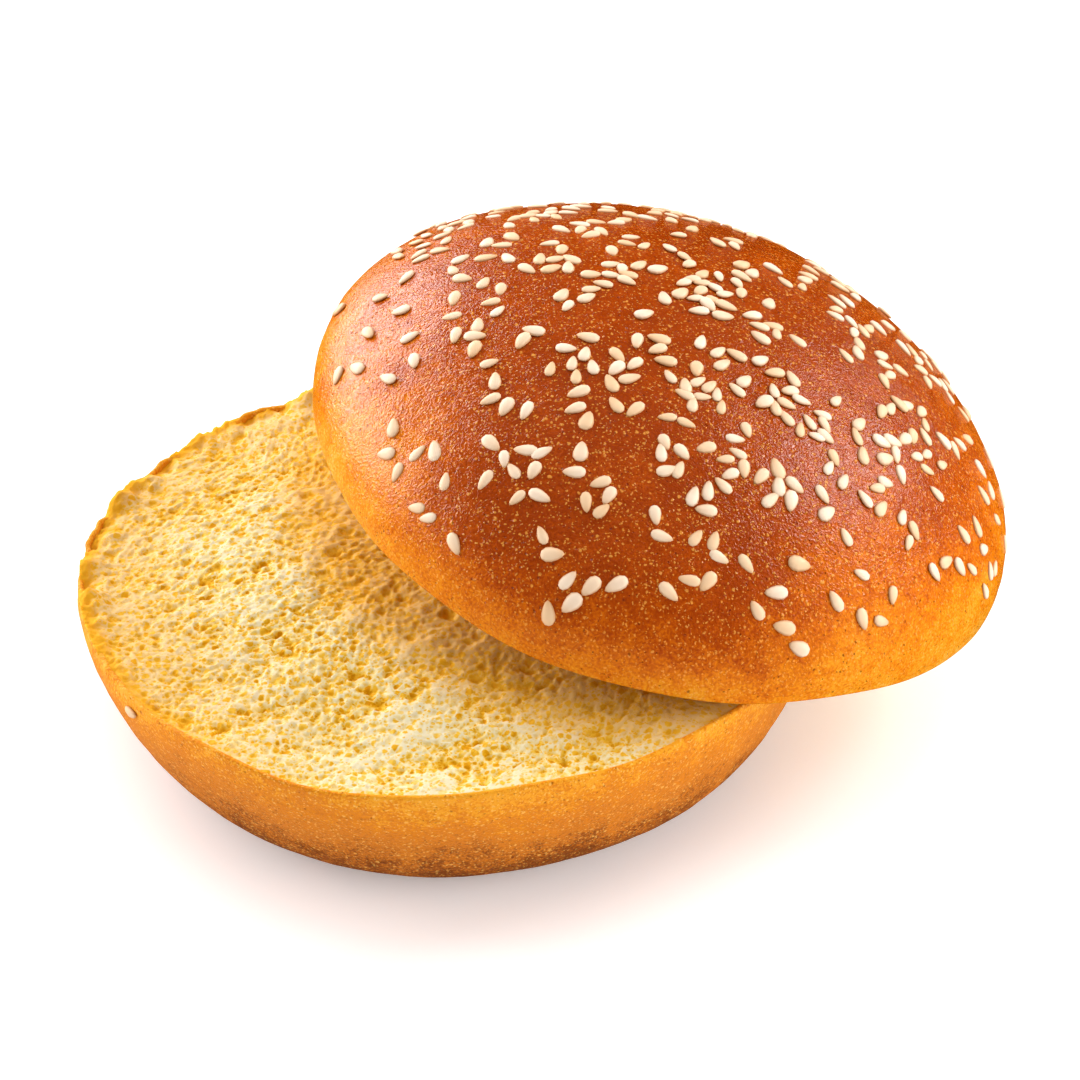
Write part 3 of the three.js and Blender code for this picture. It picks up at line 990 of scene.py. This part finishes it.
sesameSeeds.data.materials.append(seedMaterial())
print("materials made")


# Floor, lights and camera

def addFloor():
    mesh = bpy.data.meshes.new("floor")
    half = 3.0  # metres
    corners = [(-half, -half, 0), (half, -half, 0), (half, half, 0), (-half, half, 0)]
    mesh.from_pydata(corners, [], [(0, 1, 2, 3)])
    floor = bpy.data.objects.new("floor", mesh)
    bpy.context.scene.collection.objects.link(floor)
    material, _, shader = newMaterial("paleFloor")
    shader.inputs["Base Color"].default_value = paint(252, 252, 252)
    shader.inputs["Emission Color"].default_value = (1, 1, 1, 1)
    shader.inputs["Emission Strength"].default_value = 0.25
    shader.inputs["Roughness"].default_value = 0.9
    mesh.materials.append(material)
    floor.visible_glossy = False  # the crust shows only the windows


lightAim = 0.03  # metres above the floor


def addLight(name, place, size, power, mirrored):
    # a soft box aimed at the roll; only the mirrored ones show as sheens on the crust
    light = bpy.data.lights.new(name, "AREA")
    light.shape = "RECTANGLE"
    light.size, light.size_y = size
    light.energy = power
    lamp = bpy.data.objects.new(name, light)
    lamp.location = place
    lamp.rotation_euler = (Vector((0, 0, lightAim)) - Vector(place)).to_track_quat("-Z", "Y").to_euler()
    lamp.visible_glossy = mirrored
    bpy.context.scene.collection.objects.link(lamp)


def addCamera():
    target = Vector((-0.66, -3.79, 25)) * mm
    elevation = 0.641
    distance = 0.6
    ahead = Vector((0, math.cos(elevation), -math.sin(elevation)))
    data = bpy.data.cameras.new("camera")
    data.lens = 137
    data.sensor_width = 36
    data.clip_start = 0.01
    camera = bpy.data.objects.new("camera", data)
    camera.location = target - ahead * distance
    camera.rotation_euler = ahead.to_track_quat("-Z", "Y").to_euler()
    bpy.context.scene.collection.objects.link(camera)
    bpy.context.scene.camera = camera


def fromAround(azimuth, elevation, distance):
    # a place at a compass angle, 0 behind the roll and 90 to its right, and a height angle, in degrees
    a, e = math.radians(azimuth), math.radians(elevation)
    out = distance * math.cos(e)
    return out * math.sin(a), out * math.cos(a), distance * math.sin(e) + lightAim


addFloor()
addLight("leftWindow", fromAround(-48, 15, 0.9), (1.0, 0.45), 9.5, True)
addLight("rightWindow", fromAround(62, 30, 0.9), (0.34, 0.24), 3.3, True)
addLight("leftFill", fromAround(-95, 15, 1.0), (0.8, 0.5), 3.0, False)
addLight("rightFill", fromAround(105, 15, 1.0), (0.8, 0.5), 6.0, False)
addLight("overhead", fromAround(0, 72, 1.0), (0.9, 0.9), 4.0, False)


def addStudio():
    # a white room, brighter behind the roll than in front of it: strength 0.6 + 0.3 y
    world = bpy.data.worlds.new("studio")
    world.use_nodes = True
    tree = world.node_tree
    background = tree.nodes["Background"]
    background.inputs["Color"].default_value = (1, 1, 1, 1)
    direction = addNode(tree, "SeparateXYZ", Vector=addNode(tree, "TexCoord").outputs["Generated"])
    tree.links.new(multiplyAdd(tree, direction.outputs["Y"], 0.3, 0.6), background.inputs["Strength"])
    bpy.context.scene.world = world
    world.cycles_visibility.glossy = False


addStudio()
bpy.context.scene.view_settings.view_transform = "Standard"
addCamera()
print("floor, lights and camera in place")
